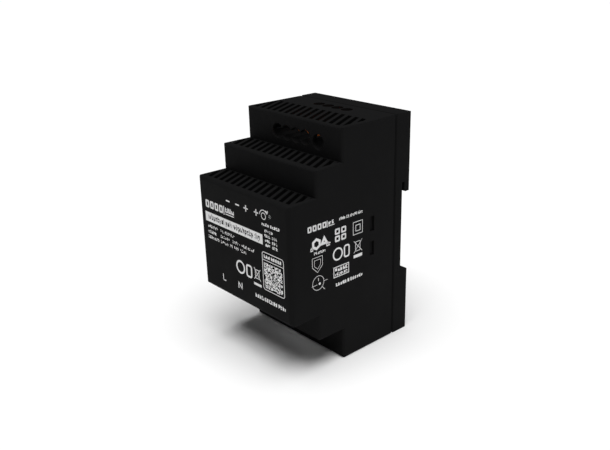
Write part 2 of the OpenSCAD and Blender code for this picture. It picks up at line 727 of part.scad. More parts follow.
// Windings as arcs that wrap a ring core, hollow where the core passes
module ring_winding(at, r0, r1, y, thick, spans) {
    translate([at[0], y[1], at[1]]) rotate([90, 0, 0]) for (a = spans) rotate([0, 0, a[0]])
        rotate_extrude(angle = a[1] - a[0]) difference() {
            translate([r0 - thick, -thick]) square([r1 - r0 + 2 * thick, y[1] - y[0] + 2 * thick]);
            translate([r0 - core_gap, -core_gap])
                square([r1 - r0 + 2 * core_gap, y[1] - y[0] + 2 * core_gap]);
        }
}

line_choke_y = [board_y - 9.5, board_y - 2.5];
out_choke_y = [board_y - 8, board_y - 2];

module line_choke_core() color("#55585c")
    ring_core(line_choke_at, 4.2, line_choke_r - 0.6, line_choke_y);

module line_choke_windings() color("#b4622e") {
    ring_winding(line_choke_at, 4.2, line_choke_r - 0.6, line_choke_y, 1, [[-60, 60], [120, 240]]);
    for (p = line_choke_leads) rod_y(lead_r, [board_y - 2, tail_y], p[0], p[1]);
}

module output_choke_core() color("#d8c24a")
    ring_core(out_choke_at, 3.2, out_choke_r - 0.9, out_choke_y);

module output_choke_winding() color("#b4622e") {
    ring_winding(out_choke_at, 3.2, out_choke_r - 0.9, out_choke_y, 0.9, [[20, 340]]);
    for (p = out_choke_leads) rod_y(lead_r, [board_y - 1.5, tail_y], p[0], p[1]);
}

module x_capacitor() color("#d8b32a") {
    block([xcap_at[0] - xcap[0] / 2, xcap_at[0] + xcap[0] / 2], [board_y - xcap[2], board_y],
        [xcap_at[1] - xcap[1] / 2, xcap_at[1] + xcap[1] / 2]);
    leads(xcap_leads, board_y - 0.2);
}

// Disc on two leads: normal along Z, or along X when on_edge is true
module disc(at, r, t, places, on_edge) {
    middle = board_y - r - 1.6;
    if (on_edge) rod_x(r, [at[0] - t / 2, at[0] + t / 2], middle, at[1]);
    else rod_z(r, [at[1] - t / 2, at[1] + t / 2], at[0], middle);
    for (p = places) rod_y(lead_r, [middle, tail_y], p[0], p[1]);
}

module y_capacitor() color("#3a78b0") disc(ycap_at, 3.6, 3, ycap_leads, false);
module varistor() color("#2d6ba8") disc(varistor_at, 5, 4, varistor_leads, true);
module inrush_thermistor() color("#2f4a34") disc(ntc_at, 4.4, 3.4, ntc_leads, false);

module bridge_rectifier() color("#28282a") {
    block([bridge_at[0] - 7.5, bridge_at[0] + 7.5], [board_y - 14.5, board_y - 3.5],
        [bridge_at[1] - 1.8, bridge_at[1] + 1.8]);
    for (p = bridge_leads) rod_y(lead_r, [board_y - 3.6, tail_y], p[0], p[1]);
}

fuse_y = board_y - fuse_r - 1.2;

module mains_fuse() color("#e6e2d6") rod_x(fuse_r, fuse_x, fuse_y, fuse_z);

// Two spring clips that cup the fuse's ends
module fuse_clips() color("#c9b27a") for (p = fuse_leads) {
    difference() {
        block([p[0] - 1.4, p[0] + 1.4], [fuse_y - 1, board_y], [fuse_z - fuse_r - 0.6, fuse_z + fuse_r + 0.6]);
        rod_x(fuse_r + core_gap, [p[0] - 2, p[0] + 2], fuse_y, fuse_z);
        block([p[0] - 2, p[0] + 2], [fuse_y - 2, fuse_y], [fuse_z - fuse_r + 0.2, fuse_z + fuse_r - 0.2]);
    }
    rod_y(lead_r, [board_y - 0.2, tail_y], p[0], p[1]);
}

// Heatsink plate on edge beside the board's right side, with one clamp screw hole
module heatsink(z, depth, screw_z) difference() {
    block([sink_x, sink_x + sink_t], [board_y - depth, board_y], z);
    rod_x(1.6, [sink_x - 1, sink_x + 3], board_y - 18, screw_z);
}

// Flat power package against the heatsink: moulded body, metal tab and three leads
module power_package(z, places) {
    middle = (z[0] + z[1]) / 2;
    block([sink_x - to_t, sink_x], [board_y - 14, board_y - 5], z);
    difference() {
        block([sink_x - 1.3, sink_x], [board_y - 20, board_y - 14 + eps], z);
        rod_x(1.6, [sink_x - 3, sink_x + 1], board_y - 18, middle);
    }
    for (p = places) rod_y(lead_r, [board_y - 5.1, tail_y], p[0], p[1]);
}

sink_low = [case_z - 19.5, case_z + 6];
sink_high = [diode_z[0] - 0.5, diode_z[1] + 1.5];
mosfet_mid = (mosfet_z[0] + mosfet_z[1]) / 2;
diode_mid = (diode_z[0] + diode_z[1]) / 2;

module primary_heatsink() color("#b9bcc0") heatsink(sink_low, 23, mosfet_mid);
module secondary_heatsink() color("#b9bcc0") heatsink(sink_high, 21, diode_mid);
module switching_transistor() color("#28282a") power_package(mosfet_z, mosfet_leads);
module rectifier_diode() color("#28282a") power_package(diode_z, diode_leads);

// One screw per heatsink, its head on the package's tab
module heatsink_screws() color("silver") for (z = [mosfet_mid, diode_mid]) {
    rod_x(1.5, [sink_x - 1.4, sink_x + sink_t], board_y - 18, z);
    rod_x(2.6, [sink_x - 3.2, sink_x - 1.3], board_y - 18, z);
}

// ---------- control side ----------

module control_board() color("#2f5d34") {
    block([ctrl_x, ctrl_x + 1.2], [board_y - 22, board_y], ctrl_z);
    for (p = ctrl_leads) rod_y(lead_r, [board_y - 0.2, tail_y], p[0], p[1]);
}

module controller_chip() color("#28282a")
    block([ctrl_x + 1.2, ctrl_x + 2.8], [board_y - 16, board_y - 8], [ctrl_z[0] + 2, ctrl_z[0] + 6]);

module optocoupler() color("#e9e6dc") {
    block([opto_at[0] - 2.3, opto_at[0] + 2.3], [board_y - 3.6, board_y - 0.3],
        [opto_at[1] - 3.2, opto_at[1] + 3.2]);
    leads(opto_leads, board_y - 0.4);
}

front_housing();
output_wire_plate();
input_wire_plate();
rear_base();
rail_latch();
latch_spring();
main_board();
board_screws();
output_terminal_body();
output_contacts();
output_cage(1);  // output_cage_1
output_cage(2);  // output_cage_2
output_cage(3);  // output_cage_3
output_cage(4);  // output_cage_4
output_screw(1);  // output_screw_1
output_screw(2);  // output_screw_2
output_screw(3);  // output_screw_3
output_screw(4);  // output_screw_4
input_terminal_body();
input_contacts();
input_cage(1);  // input_cage_1
input_cage(2);  // input_cage_2
input_screw(1);  // input_screw_1
input_screw(2);  // input_screw_2
trimmer_body();
trimmer_rotor();
status_led();
light_pipe();
transformer_core();
transformer_bobbin();
transformer_winding();
bulk_capacitor();
output_capacitor(1);  // output_capacitor_1
output_capacitor(2);  // output_capacitor_2
output_choke_core();
output_choke_winding();
line_choke_core();
line_choke_windings();
x_capacitor();
y_capacitor();
bridge_rectifier();
varistor();
inrush_thermistor();
mains_fuse();
fuse_clips();
primary_heatsink();
switching_transistor();
secondary_heatsink();
rectifier_diode();
heatsink_screws();
control_board();
controller_chip();
optocoupler();
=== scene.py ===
"""Looks of a stepped, vented power supply for a rail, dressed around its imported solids.

Each finish is a small frozen class, and the print on the case, the latch's spring, the
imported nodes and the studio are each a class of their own. Lengths are in metres, in the
row frame: +X to the right, +Y towards the rail and +Z up. Print alone is laid out in
millimetres, as on a drawing of the face that carries it.
"""

import json
import logging
import math
import random
from collections.abc import Callable
from dataclasses import dataclass, field
from enum import Enum

import bmesh
import bpy
from mathutils import Matrix, Vector

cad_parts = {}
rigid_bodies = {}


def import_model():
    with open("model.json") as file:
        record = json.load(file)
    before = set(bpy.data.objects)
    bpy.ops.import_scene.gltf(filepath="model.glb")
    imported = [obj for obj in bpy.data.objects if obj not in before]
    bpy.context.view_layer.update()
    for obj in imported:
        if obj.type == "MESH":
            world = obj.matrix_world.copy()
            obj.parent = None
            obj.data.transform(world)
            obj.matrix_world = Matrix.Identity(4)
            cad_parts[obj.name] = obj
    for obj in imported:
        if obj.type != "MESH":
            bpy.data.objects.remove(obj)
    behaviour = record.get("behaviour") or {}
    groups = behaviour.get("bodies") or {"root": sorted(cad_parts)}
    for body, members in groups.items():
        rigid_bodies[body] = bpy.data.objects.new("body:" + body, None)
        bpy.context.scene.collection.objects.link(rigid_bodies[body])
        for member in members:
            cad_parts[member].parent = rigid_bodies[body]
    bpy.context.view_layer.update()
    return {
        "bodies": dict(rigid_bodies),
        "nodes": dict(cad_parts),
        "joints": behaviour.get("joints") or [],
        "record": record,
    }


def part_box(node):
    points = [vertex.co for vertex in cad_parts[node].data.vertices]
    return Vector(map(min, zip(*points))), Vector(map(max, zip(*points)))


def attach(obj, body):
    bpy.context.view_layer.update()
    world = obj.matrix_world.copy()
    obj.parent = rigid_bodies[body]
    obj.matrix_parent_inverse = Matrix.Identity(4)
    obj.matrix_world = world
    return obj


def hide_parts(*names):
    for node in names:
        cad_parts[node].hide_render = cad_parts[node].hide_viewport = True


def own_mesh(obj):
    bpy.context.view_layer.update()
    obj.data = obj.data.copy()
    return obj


LOG = logging.getLogger("power_supply")
MM = 0.001
CASE_BODY = "case"

Colour = tuple[float, float, float]
Point = tuple[float, float]
Piece = bpy.types.Object
Tree = bpy.types.NodeTree
Node = bpy.types.Node
Socket = bpy.types.NodeSocket
FaceTest = Callable[[bmesh.types.BMFace], bool]
CellTest = Callable[[int, int], bool]


class Texture(Enum):
    """Surface patterns a finish may have."""

    MOULDED = "moulded"
    BRUSHED = "brushed"
    BOARD = "board"
    SPECKLED = "speckled"
    DRAWN = "drawn"
    CLEAR = "clear"


# ---------------------------------------------------------------- hand tools


def object_mode() -> None:
    """Leave edit mode and deselect every object."""
    if bpy.context.object is not None and bpy.context.object.mode != "OBJECT":
        bpy.ops.object.mode_set(mode="OBJECT")
    bpy.ops.object.select_all(action="DESELECT")


def pick(*objects: Piece) -> None:
    """Select these objects alone and make the first one active.

    Args:
        objects: the objects to select.
    """
    object_mode()
    for item in objects:
        item.select_set(True)
    bpy.context.view_layer.objects.active = objects[0]


def edit_all() -> None:
    """Enter edit mode on the active object with all of it selected."""
    bpy.ops.object.mode_set(mode="EDIT")
    bpy.ops.mesh.select_all(action="SELECT")


def select_faces(obj: Piece, test: FaceTest) -> int:
    """Select the faces of a mesh in edit mode that pass a test, and no others.

    Args:
        obj: the object being edited.
        test: a function of a face that returns True to select it.

    Returns:
        How many faces are selected.
    """
    bpy.ops.mesh.select_mode(type="FACE")
    shape = bmesh.from_edit_mesh(obj.data)
    chosen = 0
    for face in shape.faces:
        face.select_set(False)
    for face in shape.faces:
        if test(face):
            face.select_set(True)
            chosen += 1
    bmesh.update_edit_mesh(obj.data)
    return chosen


def apply_all(obj: Piece) -> None:
    """Put the object's place, turn and scale into its mesh.

    Args:
        obj: the object to settle at the origin.
    """
    pick(obj)
    bpy.ops.object.transform_apply(location=True, rotation=True, scale=True)


def join(parts: list[Piece], name: str) -> Piece:
    """Join meshes into one object that sits at the origin.

    Args:
        parts: the meshes to join.
        name: the new piece's name.

    Returns:
        The joined object.
    """
    pick(*parts)
    bpy.ops.object.transform_apply(location=True, rotation=True, scale=True)
    if len(parts) > 1:
        bpy.ops.object.join()
    piece = bpy.context.object
    piece.name = name
    piece.data.name = name
    return piece


def outward(obj: Piece, merge: float = 1e-7) -> None:
    """Merge doubled points and turn every face outwards.

    Args:
        obj: the mesh to mend.
        merge: distance under which points are one, in metres.
    """
    pick(obj)
    edit_all()
    bpy.ops.mesh.remove_doubles(threshold=merge)
    bpy.ops.mesh.select_all(action="SELECT")
    bpy.ops.mesh.normals_make_consistent(inside=False)
    object_mode()


def smooth(obj: Piece, degrees: float) -> None:
    """Shade smooth, keeping edges sharper than an angle.

    Args:
        obj: the mesh to shade.
        degrees: edges bent more than this stay sharp.
    """
    pick(obj)
    bpy.ops.object.shade_smooth_by_angle(angle=math.radians(degrees))


# ---------------------------------------------------------------- node groups


def math_node(tree: Tree, operation: str, first: Socket, second: Socket | None = None,
              value: float = 0.0) -> Socket:
    """Add a Math node.

    Args:
        tree: the node tree.
        operation: the Math node's operation.
        first: the socket for the first value.
        second: the socket for the second value, or None for a plain number.
        value: that plain number.

    Returns:
        The node's output socket.
    """
    node = tree.nodes.new("ShaderNodeMath")
    node.operation = operation
    tree.links.new(first, node.inputs[0])
    if second is None:
        node.inputs[1].default_value = value
    else:
        tree.links.new(second, node.inputs[1])
    return node.outputs[0]


def noise(tree: Tree, vector: Socket, scale: Socket, detail: float = 3.0,
          rough: float = 0.5) -> Socket:
    """Add a Noise texture.

    Args:
        tree: the node tree.
        vector: the socket with the coordinates.
        scale: the socket with its scale, in cycles per metre.
        detail: octaves of noise.
        rough: how much the finer octaves count.

    Returns:
        The noise value's socket.
    """
    node = tree.nodes.new("ShaderNodeTexNoise")
    node.inputs["Detail"].default_value = detail
    node.inputs["Roughness"].default_value = rough
    tree.links.new(vector, node.inputs["Vector"])
    tree.links.new(scale, node.inputs["Scale"])
    return node.outputs["Fac"]


def remap(tree: Tree, value: Socket, source: Point, target: Point = (0.0, 1.0)) -> Socket:
    """Add a Map Range node.

    Args:
        tree: the node tree.
        value: the socket to remap.
        source: the value's two ends.
        target: what each end becomes.

    Returns:
        The remapped value's socket.
    """
    node = tree.nodes.new("ShaderNodeMapRange")
    node.inputs["From Min"].default_value = source[0]
    node.inputs["From Max"].default_value = source[1]
    node.inputs["To Min"].default_value = target[0]
    node.inputs["To Max"].default_value = target[1]
    tree.links.new(value, node.inputs["Value"])
    return node.outputs["Result"]


def stretched(tree: Tree, coords: Socket, scale: Colour,
              turn: Colour = (0.0, 0.0, 0.0)) -> Socket:
    """Add a Mapping node that stretches a pattern.

    Args:
        tree: the node tree.
        coords: the socket with the coordinates.
        scale: its scale along each axis.
        turn: its turn about each axis, in radians.

    Returns:
        The stretched coordinates' socket.
    """
    node = tree.nodes.new("ShaderNodeMapping")
    node.inputs["Scale"].default_value = scale
    node.inputs["Rotation"].default_value = turn
    tree.links.new(coords, node.inputs["Vector"])
    return node.outputs["Vector"]


def new_group(name: str, inputs: dict[str, float],
              outputs: list[str]) -> tuple[Tree, Node, Node, Socket]:
    """Start a shader node group that reads Object coordinates.

    Args:
        name: the group's name.
        inputs: its number inputs and their usual values.
        outputs: its number outputs.

    Returns:
        The group, its input node, its output node and the coordinate socket.
    """
    group = bpy.data.node_groups.new(name, "ShaderNodeTree")
    for key, usual in inputs.items():
        socket = group.interface.new_socket(
            name=key, in_out="INPUT", socket_type="NodeSocketFloat"
        )
        socket.default_value = usual
    for key in outputs:
        group.interface.new_socket(
            name=key, in_out="OUTPUT", socket_type="NodeSocketFloat"
        )
    source = group.nodes.new("NodeGroupInput")
    sink = group.nodes.new("NodeGroupOutput")
    coords = group.nodes.new("ShaderNodeTexCoord").outputs["Object"]
    return group, source, sink, coords


def build_moulded_grain() -> Tree:
    """Spark-eroded grain of a moulding: a fine height and a slow patchiness.

    Returns:
        The node group.
    """
    group, source, sink, coords = new_group(
        "moulded_grain", {"Grain": 3000.0, "Patches": 60.0}, ["Height", "Patch"]
    )
    fine = noise(group, coords, source.outputs["Grain"], 4.0, 0.62)
    pits = group.nodes.new("ShaderNodeTexVoronoi")
    group.links.new(coords, pits.inputs["Vector"])
    group.links.new(source.outputs["Grain"], pits.inputs["Scale"])
    shallow = math_node(group, "MULTIPLY", pits.outputs["Distance"], value=0.45)
    height = math_node(group, "ADD", fine, shallow)
    patch = noise(group, coords, source.outputs["Patches"], 3.0, 0.55)
    group.links.new(height, sink.inputs["Height"])
    group.links.new(patch, sink.inputs["Patch"])
    return group


def build_handling_marks() -> Tree:
    """Faint scuffs and dust: thin scratches and soft specks.

    Returns:
        The node group.
    """
    group, source, sink, coords = new_group(
        "handling_marks", {"Scratches": 140.0, "Dust": 420.0}, ["Scuff", "Dust"]
    )
    along = stretched(group, coords, (1.0, 0.12, 0.22), (0.5, 0.3, 0.9))
    lines = noise(group, along, source.outputs["Scratches"], 6.0, 0.7)
    off_line = math_node(group, "SUBTRACT", lines, value=0.5)
    off_line = math_node(group, "ABSOLUTE", off_line)
    scuff = remap(group, off_line, (0.0, 0.012), (1.0, 0.0))
    specks = noise(group, coords, source.outputs["Dust"], 2.0, 0.5)
    dust = remap(group, specks, (0.66, 0.78))
    group.links.new(scuff, sink.inputs["Scuff"])
    group.links.new(dust, sink.inputs["Dust"])
    return group


def build_brushing() -> Tree:
    """Rolling lines of sheet metal along the length of the part.

    Returns:
        The node group.
    """
    group, source, sink, coords = new_group(
        "rolled_sheet", {"Lines": 900.0, "Patches": 90.0}, ["Height", "Patch"]
    )
    along = stretched(group, coords, (1.0, 0.05, 1.0))
    lines = noise(group, along, source.outputs["Lines"], 3.0, 0.6)
    patch = noise(group, coords, source.outputs["Patches"], 3.0, 0.5)
    group.links.new(lines, sink.inputs["Height"])
    group.links.new(patch, sink.inputs["Patch"])
    return group


def build_board_tracks() -> Tree:
    """Tracks under solder resist, as a raised pattern, and the weave below them.

    Returns:
        The node group.
    """
    group, source, sink, coords = new_group(
        "board_tracks", {"Tracks": 330.0, "Weave": 2600.0}, ["Height", "Patch"]
    )
    cells = group.nodes.new("ShaderNodeTexVoronoi")
    cells.feature = "DISTANCE_TO_EDGE"
    group.links.new(coords, cells.inputs["Vector"])
    group.links.new(source.outputs["Tracks"], cells.inputs["Scale"])
    track = remap(group, cells.outputs["Distance"], (0.06, 0.11))
    weave = noise(group, coords, source.outputs["Weave"], 2.0, 0.5)
    faint = math_node(group, "MULTIPLY", weave, value=0.2)
    height = math_node(group, "ADD", track, faint)
    group.links.new(height, sink.inputs["Height"])
    group.links.new(track, sink.inputs["Patch"])
    return group


class Groups:
    """Node groups shared by the finishes, each built once."""

    def __init__(self) -> None:
        """Build every group."""
        self.grain = build_moulded_grain()
        self.marks = build_handling_marks()
        self.brushing = build_brushing()
        self.tracks = build_board_tracks()


# ---------------------------------------------------------------- finishes


COAT_ROUGH = 0.12
CLEAR_SHARE = 0.92
CLEAR_IOR = 1.49
SMOOTHEST = 0.02
BUMP_STRENGTH = 0.6
DUST_SHARE = 0.16
SCUFF_POLISH = -0.1


@dataclass(frozen=True)
class Finish:
    """One finish of the part, as the record's slot of the same name.

    Attributes:
        slot: the record's material slot.
        colour: its usual colour, linear.
        rough: its usual roughness.
        texture: which surface pattern it has.
        metal: 1 for bare metal.
        specular: strength of the plain reflection.
        grain: fineness of its pattern, in cycles per metre.
        depth: depth of the pattern, in metres.
        patchy: how far the colour varies, as a share.
        spread: how far the roughness varies.
        coat: weight of a clear coat.
        dust: colour of the dust on it, or None for a clean part.
    """

    slot: str
    colour: Colour
    rough: float
    texture: Texture = Texture.MOULDED
    metal: float = 0.0
    specular: float = 0.5
    grain: float = 3000.0
    depth: float = 0.00002
    patchy: float = 0.12
    spread: float = 0.08
    coat: float = 0.0
    dust: Colour | None = None

    def shade(self, share: float) -> tuple[float, float, float, float]:
        """The colour made darker or lighter by a share."""
        return (*(min(1.0, c * (1.0 + share)) for c in self.colour), 1.0)

    def build(self, groups: Groups) -> bpy.types.Material:
        """Make the material's nodes.

        Args:
            groups: the shared node groups.

        Returns:
            The material.
        """
        made = bpy.data.materials.new(self.slot)
        made.use_nodes = True
        tree = made.node_tree
        shader = tree.nodes["Principled BSDF"]
        shader.inputs["Metallic"].default_value = self.metal
        shader.inputs["Specular IOR Level"].default_value = self.specular
        shader.inputs["Coat Weight"].default_value = self.coat
        shader.inputs["Coat Roughness"].default_value = COAT_ROUGH
        if self.texture is Texture.CLEAR:
            shader.inputs["Transmission Weight"].default_value = CLEAR_SHARE
            shader.inputs["IOR"].default_value = CLEAR_IOR
        pattern = self._pattern(tree, groups)
        patch = pattern.outputs["Patch"]
        colour = self._mixed(tree, patch, self.shade(-self.patchy), self.shade(self.patchy))
        low = max(SMOOTHEST, self.rough - self.spread)
        high = min(1.0, self.rough + self.spread)
        rough = remap(tree, patch, (0.3, 0.7), (low, high))
        if self.dust is not None:
            colour, rough = self._marks(tree, groups, colour, rough)
        tree.links.new(colour, shader.inputs["Base Color"])
        tree.links.new(rough, shader.inputs["Roughness"])
        bump = tree.nodes.new("ShaderNodeBump")
        bump.inputs["Strength"].default_value = BUMP_STRENGTH
        bump.inputs["Distance"].default_value = self.depth
        tree.links.new(pattern.outputs["Height"], bump.inputs["Height"])
        tree.links.new(bump.outputs["Normal"], shader.inputs["Normal"])
        return made

    def _pattern(self, tree: Tree, groups: Groups) -> Node:
        """Place the group of this finish's surface pattern, at its own fineness.

        Args:
            tree: the material's node tree.
            groups: the shared node groups.

        Returns:
            The group's node.
        """
        pattern = tree.nodes.new("ShaderNodeGroup")
        if self.texture in (Texture.BRUSHED, Texture.DRAWN):
            pattern.node_tree = groups.brushing
            pattern.inputs["Lines"].default_value = self.grain
        elif self.texture is Texture.BOARD:
            pattern.node_tree = groups.tracks
            pattern.inputs["Tracks"].default_value = self.grain
        else:
            pattern.node_tree = groups.grain
            pattern.inputs["Grain"].default_value = self.grain
            speckled = self.texture is Texture.SPECKLED
            pattern.inputs["Patches"].default_value = self.grain * 0.5 if speckled else 70.0
        return pattern

    def _mixed(self, tree: Tree, share: Socket, first: tuple[float, ...] | Socket,
               second: tuple[float, ...]) -> Socket:
        """Mix two colours.

        Args:
            tree: the material's node tree.
            share: the socket with the second colour's share.
            first: the first colour, or the socket that gives it.
            second: the second colour.

        Returns:
            The mixed colour's socket.
        """
        mix = tree.nodes.new("ShaderNodeMix")
        mix.data_type = "RGBA"
        tree.links.new(share, mix.inputs["Factor"])
        if isinstance(first, tuple):
            mix.inputs["A"].default_value = first
        else:
            tree.links.new(first, mix.inputs["A"])
        mix.inputs["B"].default_value = second
        return mix.outputs["Result"]

    def _marks(self, tree: Tree, groups: Groups, colour: Socket,
               rough: Socket) -> tuple[Socket, Socket]:
        """Lay scuffs and dust over the colour and roughness.

        Args:
            tree: the material's node tree.
            groups: the shared node groups.
            colour: the colour's socket.
            rough: the roughness socket.

        Returns:
            The new colour and roughness sockets.
        """
        marks = tree.nodes.new("ShaderNodeGroup")
        marks.node_tree = groups.marks
        share = math_node(tree, "MULTIPLY", marks.outputs["Dust"], value=DUST_SHARE)
        dusty = self._mixed(tree, share, colour, (*self.dust, 1.0))
        polish = math_node(tree, "MULTIPLY", marks.outputs["Scuff"], value=SCUFF_POLISH)
        return dusty, math_node(tree, "ADD", rough, polish)


DUST = (0.014, 0.014, 0.0136)
FINISHES = (
    Finish("case_black", (0.0083, 0.0083, 0.0085), 0.62, specular=0.02, grain=2600.0,
           depth=0.00003, patchy=0.1, dust=DUST),
    Finish("base_black", (0.0079, 0.0079, 0.0081), 0.64, specular=0.02, grain=2600.0,
           depth=0.00003, patchy=0.1, dust=DUST),
    Finish("latch_black", (0.0105, 0.0105, 0.011), 0.5, specular=0.05, grain=3200.0,
           depth=0.00002, dust=DUST),
    Finish("board_green", (0.02, 0.085, 0.032), 0.32, Texture.BOARD, grain=330.0,
           depth=0.00004, patchy=0.3, coat=0.3),
    Finish("terminal_orange", (0.8, 0.2, 0.03), 0.4, grain=2400.0, patchy=0.05),
    Finish("steel", (0.56, 0.57, 0.6), 0.3, Texture.DRAWN, metal=1.0, grain=2400.0,
           depth=0.000006, patchy=0.08),
    Finish("contact_brass", (0.62, 0.45, 0.19), 0.28, Texture.DRAWN, metal=1.0,
           grain=2200.0, depth=0.000006, patchy=0.08),
    Finish("trimmer_blue", (0.03, 0.1, 0.38), 0.42, grain=2800.0, patchy=0.08),
    Finish("trimmer_white", (0.78, 0.78, 0.74), 0.4, grain=2800.0, patchy=0.03),
    Finish("lamp_clear", (0.86, 0.92, 0.9), 0.16, Texture.CLEAR, grain=1500.0,
           depth=0.000004, patchy=0.03, spread=0.03),
    Finish("ferrite", (0.04, 0.04, 0.044), 0.6, Texture.SPECKLED, grain=5200.0,
           depth=0.00002, patchy=0.3),
    Finish("tape_yellow", (0.74, 0.43, 0.03), 0.26, Texture.DRAWN, grain=900.0,
           depth=0.00003, patchy=0.08, coat=0.4),
    Finish("moulding_black", (0.016, 0.016, 0.017), 0.5, grain=3400.0, patchy=0.2),
    Finish("can_sleeve", (0.016, 0.026, 0.08), 0.3, grain=900.0, depth=0.00001,
           patchy=0.1, coat=0.5),
    Finish("copper", (0.58, 0.2, 0.06), 0.28, Texture.DRAWN, metal=1.0, grain=1600.0,
           depth=0.000005, patchy=0.12, coat=0.6),
    Finish("core_yellow", (0.58, 0.48, 0.07), 0.5, Texture.SPECKLED, grain=3400.0,
           depth=0.00003, patchy=0.14),
    Finish("film_yellow", (0.68, 0.4, 0.025), 0.32, grain=1300.0, patchy=0.05, coat=0.2),
    Finish("disc_blue", (0.025, 0.11, 0.36), 0.34, grain=1100.0, depth=0.00004,
           patchy=0.12, coat=0.3),
    Finish("disc_green", (0.018, 0.055, 0.028), 0.4, grain=1100.0, depth=0.00004,
           patchy=0.18, coat=0.2),
    Finish("ceramic", (0.74, 0.71, 0.62), 0.24, grain=1800.0, depth=0.000008,
           patchy=0.05, coat=0.4),
    Finish("aluminium", (0.74, 0.75, 0.77), 0.34, Texture.BRUSHED, metal=1.0,
           grain=1500.0, depth=0.000008, patchy=0.06),
    Finish("opto_white", (0.76, 0.74, 0.66), 0.42, grain=2600.0, patchy=0.04),
)
INK = Finish("print_white", (0.8, 0.8, 0.8), 0.55, specular=0.3, grain=5200.0,
             depth=0.000006, patchy=0.04)


class Paintbox:
    """Every finish as a material, by slot name."""

    def __init__(self) -> None:
        """Build the groups, then the materials."""
        groups = Groups()
        self.by_slot = {f.slot: f.build(groups) for f in (*FINISHES, INK)}

    def dress(self, obj: Piece, slot: str) -> None:
        """Give an object one finish all over.

        Args:
            obj: the object to dress.
            slot: the finish's slot name.
        """
        if obj.material_slots:
            for held in obj.material_slots:
                held.material = self.by_slot[slot]
        else:
            obj.data.materials.append(self.by_slot[slot])


# ---------------------------------------------------------------- print


SUNK_SHARE = 0.35  # share of the ink's thickness that sits in the case


